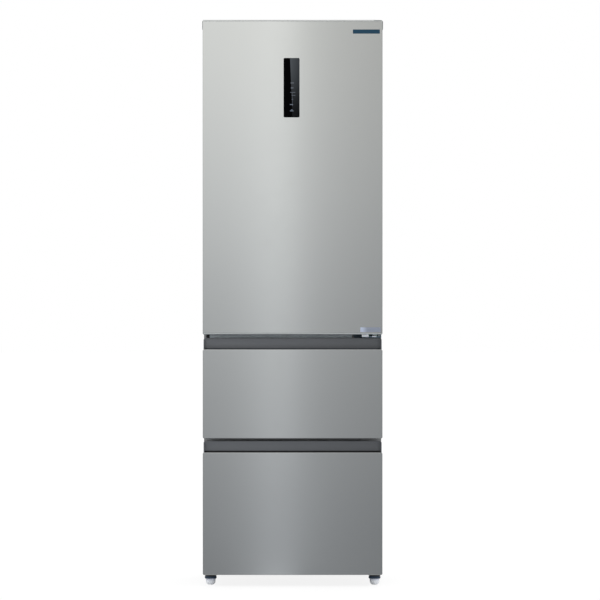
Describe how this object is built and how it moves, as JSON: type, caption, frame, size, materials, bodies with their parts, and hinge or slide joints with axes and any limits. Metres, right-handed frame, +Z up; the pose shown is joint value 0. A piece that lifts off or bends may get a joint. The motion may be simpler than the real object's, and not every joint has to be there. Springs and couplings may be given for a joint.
{
  "type": "fridge freezer",
  "caption": "Tall free-standing fridge freezer with a hinged steel door and dark display above freezer drawers with grip bands, on levelling feet and rear rollers.",
  "frame": {"origin": "on the floor, under the centre of the whole appliance", "axes": "+Z up, -Y towards the front, +X to the right seen from the front (the hinge side)"},
  "size_m": [0.6054, 0.66, 1.89],
  "materials": {
    "steel_front": "satin, upright grain",
    "cabinet_paint": "satin grey",
    "zinc": "bare zinc-coated sheet",
    "base_dark": "semi-matt dark grey",
    "foam": "rigid closed-cell foam",
    "white_core": "white inner panel over foam",
    "liner_white": "semi-gloss white",
    "duct_grey": "semi-gloss pale grey",
    "grip_grey": "fine-grained dark grey",
    "cap_grey": "satin grey",
    "cover_grey": "fine-grained grey",
    "hinge_grey": "satin grey",
    "hinge_dark": "satin dark grey",
    "strip_grey": "satin blue-grey",
    "black_plastic": "matt black",
    "seal_grey": "soft matt grey",
    "rubber_black": "matt black",
    "shelf_glass": "clear, polished edges",
    "display_black": "dark glossy",
    "clear_plastic": "clear, faintly blue",
    "trim_white": "semi-gloss white",
    "lens": "frosted",
    "plate_blue": "plain satin blue",
    "copper": "bright copper",
    "black_paint": "gloss black",
    "fin_metal": "plain",
    "nylon": "waxy white",
    "foot_plastic": "waxy bluish white"
  },
  "bodies": {
    "cabinet": {"outer_panels": "cabinet_paint", "front_rails": "cabinet_paint", "back_panel": "zinc", "rear_cover": "zinc", "roller_axles": "zinc", "fixed_slides": "zinc", "base_frame": "base_dark", "cabinet_foam": "foam", "fridge_liner": "liner_white", "freezer_liners": "liner_white", "freezer_duct": "liner_white", "fridge_duct": "duct_grey", "control_board": "duct_grey", "top_cover": "cover_grey", "top_hinge": "hinge_grey", "lower_hinge": "hinge_dark", "gap_strip": "strip_grey", "hinge_blank": "black_plastic", "mains_inlet": "black_plastic", "fan_motor": "black_plastic", "drip_tray": "black_plastic", "compressor_mounts": "rubber_black", "glass_shelves": "shelf_glass", "shelf_trims": "trim_white", "lamp_lens": "lens", "refrigerant_tubes": "copper", "compressor": "black_paint", "condenser": "black_paint", "evaporator": "fin_metal"},
    "door": {"door_skin": "steel_front", "door_end_caps": "cap_grey", "door_foam": "foam", "door_liner": "liner_white", "door_gasket": "seal_grey", "display_glass": "display_black", "blank_plates": "plate_blue", "balconies": "clear_plastic", "bottle_bin": "clear_plastic", "door_bushes": "nylon"},
    "upper_drawer": {"upper_drawer_skin": "steel_front", "upper_drawer_grip": "grip_grey", "upper_drawer_core": "white_core", "upper_drawer_gasket": "seal_grey", "upper_drawer_basket": "clear_plastic", "upper_drawer_slides": "zinc"},
    "lower_drawer": {"lower_drawer_skin": "steel_front", "lower_drawer_grip": "grip_grey", "lower_drawer_core": "white_core", "lower_drawer_gasket": "seal_grey", "lower_drawer_basket": "clear_plastic", "lower_drawer_slides": "zinc"},
    "upper_rails": {"upper_middle_slides": "zinc"},
    "lower_rails": {"lower_middle_slides": "zinc"},
    "crisper_left": {"crisper_left": "clear_plastic"},
    "crisper_right": {"crisper_right": "clear_plastic"},
    "fan": {"fan_rotor": "trim_white"},
    "roller_left": {"roller_left": "foot_plastic"},
    "roller_right": {"roller_right": "foot_plastic"},
    "foot_left": {"foot_left": "foot_plastic"},
    "foot_right": {"foot_right": "foot_plastic"}
  },
  "joints": [
    {"name": "door_hinge", "type": "hinge", "parent": "cabinet", "child": "door", "pos_m": [0.274, -0.3014, 0.841], "axis": [0, 0, 1], "range_deg": [0, 115]},
    {"name": "upper_drawer_slide", "type": "slide", "parent": "cabinet", "child": "upper_drawer", "axis": [0, -1, 0], "range_m": [0, 0.38]},
    {"name": "upper_rails_slide", "type": "slide", "parent": "cabinet", "child": "upper_rails", "axis": [0, -1, 0], "range_m": [0, 0.19]},
    {"name": "lower_drawer_slide", "type": "slide", "parent": "cabinet", "child": "lower_drawer", "axis": [0, -1, 0], "range_m": [0, 0.38]},
    {"name": "lower_rails_slide", "type": "slide", "parent": "cabinet", "child": "lower_rails", "axis": [0, -1, 0], "range_m": [0, 0.19]},
    {"name": "crisper_left_slide", "type": "slide", "parent": "cabinet", "child": "crisper_left", "axis": [0, -1, 0], "range_m": [0, 0.045]},
    {"name": "crisper_right_slide", "type": "slide", "parent": "cabinet", "child": "crisper_right", "axis": [0, -1, 0], "range_m": [0, 0.045]},
    {"name": "fan_spin", "type": "hinge", "parent": "cabinet", "child": "fan", "pos_m": [0, 0.202, 0.738], "axis": [0, 1, 0], "continuous": true},
    {"name": "roller_left_spin", "type": "hinge", "parent": "cabinet", "child": "roller_left", "pos_m": [-0.251, 0.288, 0.019], "axis": [1, 0, 0], "continuous": true},
    {"name": "roller_right_spin", "type": "hinge", "parent": "cabinet", "child": "roller_right", "pos_m": [0.251, 0.288, 0.019], "axis": [1, 0, 0], "continuous": true},
    {"name": "foot_left_turn", "type": "hinge", "parent": "cabinet", "child": "foot_left", "pos_m": [-0.275, -0.2274, 0.01365], "axis": [0, 0, 1], "range_deg": [-180, 180]},
    {"name": "foot_right_turn", "type": "hinge", "parent": "cabinet", "child": "foot_right", "pos_m": [0.275, -0.2274, 0.01365], "axis": [0, 0, 1], "range_deg": [-180, 180]}
  ],
  "couplings": [
    {"joint": "upper_rails_slide", "follows": "upper_drawer_slide", "ratio": 0.5},
    {"joint": "lower_rails_slide", "follows": "lower_drawer_slide", "ratio": 0.5}
  ]
}
